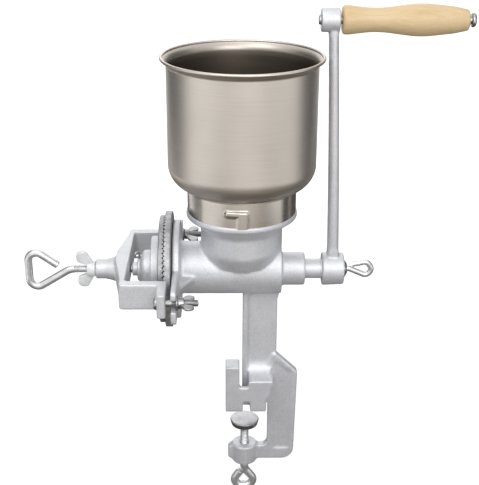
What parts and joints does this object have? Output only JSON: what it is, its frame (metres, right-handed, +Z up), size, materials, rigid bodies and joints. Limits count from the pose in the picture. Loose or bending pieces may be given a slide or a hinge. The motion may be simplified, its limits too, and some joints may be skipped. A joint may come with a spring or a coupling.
{
  "type": "hand grain mill",
  "caption": "Clamp-on hand grain mill with a spun steel hopper, toothed grinding plates in a yoke, an auger shaft and a crank with a turned wooden grip.",
  "frame": {"origin": "on the sole of the foot, straight under the hopper's axis", "axes": "+X along the shaft from the grinding plates to the crank, +Z up out of the table along the hopper's axis"},
  "size_m": [0.3895, 0.1794, 0.4799],
  "materials": {
    "casting": "tinned, rough cast, bright silver",
    "plate_iron": "rough cast, bright",
    "spun_steel": "satin",
    "zinc": "zinc plated",
    "ball_steel": "polished",
    "wood": "turned, clear lacquer"
  },
  "bodies": {
    "mill": {"mill_body": "casting", "fixed_grind_plate": "plate_iron", "fixed_plate_screws": "zinc", "yoke": "casting", "front_yoke_bolt": "zinc", "rear_yoke_bolt": "zinc"},
    "hopper": {"hopper_bowl": "spun_steel", "hopper_collar": "spun_steel"},
    "thrust": {"thrust_ball": "ball_steel"},
    "adjuster": {"adjusting_screw": "zinc"},
    "lock_nut": {"lock_wing_nut": "zinc"},
    "rotor": {"auger_shaft": "casting", "split_pin": "zinc", "plate_carrier": "casting", "moving_grind_plate": "plate_iron", "moving_plate_screws": "zinc", "crank_arm": "casting", "handle_pin": "zinc"},
    "crank_cup": {"crank_washer": "zinc"},
    "crank_lock": {"crank_screw": "zinc"},
    "grip": {"wooden_grip": "wood"},
    "front_washer": {"front_bolt_washer": "zinc"},
    "front_nut": {"front_wing_nut": "zinc"},
    "rear_washer": {"rear_bolt_washer": "zinc"},
    "rear_nut": {"rear_wing_nut": "zinc"},
    "clamp_foot": {"clamp_pad": "zinc"},
    "clamp_spindle": {"clamp_screw": "zinc"}
  },
  "joints": [
    {"name": "hopper_lift", "type": "slide", "parent": "mill", "child": "hopper", "axis": [0, 0, 1], "range_m": [0, 0.016]},
    {"name": "grind_gap", "type": "slide", "parent": "mill", "child": "thrust", "axis": [1, 0, 0], "range_m": [-0.0012, 0]},
    {"name": "adjust_turn", "type": "hinge", "parent": "thrust", "child": "adjuster", "pos_m": [0, 0, 0.1395], "axis": [1, 0, 0], "range_deg": [-345.61, 0]},
    {"name": "lock_nut_turn", "type": "hinge", "parent": "adjuster", "child": "lock_nut", "pos_m": [0, 0, 0.1395], "axis": [1, 0, 0], "continuous": true},
    {"name": "crank_turn", "type": "hinge", "parent": "thrust", "child": "rotor", "pos_m": [0, 0, 0.1395], "axis": [1, 0, 0], "continuous": true},
    {"name": "crank_washer_slide", "type": "slide", "parent": "rotor", "child": "crank_cup", "axis": [1, 0, 0], "range_m": [0, 0.003]},
    {"name": "crank_screw_turn", "type": "hinge", "parent": "crank_cup", "child": "crank_lock", "pos_m": [0, 0, 0.1395], "axis": [1, 0, 0], "range_deg": [0, 1080]},
    {"name": "grip_turn", "type": "hinge", "parent": "rotor", "child": "grip", "pos_m": [0.13, 0, 0.3645], "axis": [1, 0, 0], "continuous": true},
    {"name": "front_washer_slide", "type": "slide", "parent": "mill", "child": "front_washer", "axis": [1, 0, 0], "range_m": [0, 0.004]},
    {"name": "front_nut_turn", "type": "hinge", "parent": "front_washer", "child": "front_nut", "pos_m": [-0.05, -0.0765, 0.1421], "axis": [1, 0, 0], "range_deg": [0, 1440]},
    {"name": "rear_washer_slide", "type": "slide", "parent": "mill", "child": "rear_washer", "axis": [1, 0, 0], "range_m": [0, 0.004]},
    {"name": "rear_nut_turn", "type": "hinge", "parent": "rear_washer", "child": "rear_nut", "pos_m": [-0.05, 0.0765, 0.1421], "axis": [1, 0, 0], "range_deg": [0, 1440]},
    {"name": "clamp_pad_slide", "type": "slide", "parent": "mill", "child": "clamp_foot", "axis": [0, 0, 1], "range_m": [-0.01875, 0.005]},
    {"name": "clamp_turn", "type": "hinge", "parent": "clamp_foot", "child": "clamp_spindle", "pos_m": [0.004, 0, -0.06], "axis": [0, 0, 1], "range_deg": [-5400.01, 1440.01]}
  ],
  "couplings": [
    {"joint": "adjust_turn", "follows": "grind_gap", "rad_per_m": 5026.5},
    {"joint": "crank_washer_slide", "follows": "crank_screw_turn", "m_per_rad": 0.00015915},
    {"joint": "front_washer_slide", "follows": "front_nut_turn", "m_per_rad": 0.00015915},
    {"joint": "rear_washer_slide", "follows": "rear_nut_turn", "m_per_rad": 0.00015915},
    {"joint": "clamp_turn", "follows": "clamp_pad_slide", "rad_per_m": 5026.5}
  ]
}
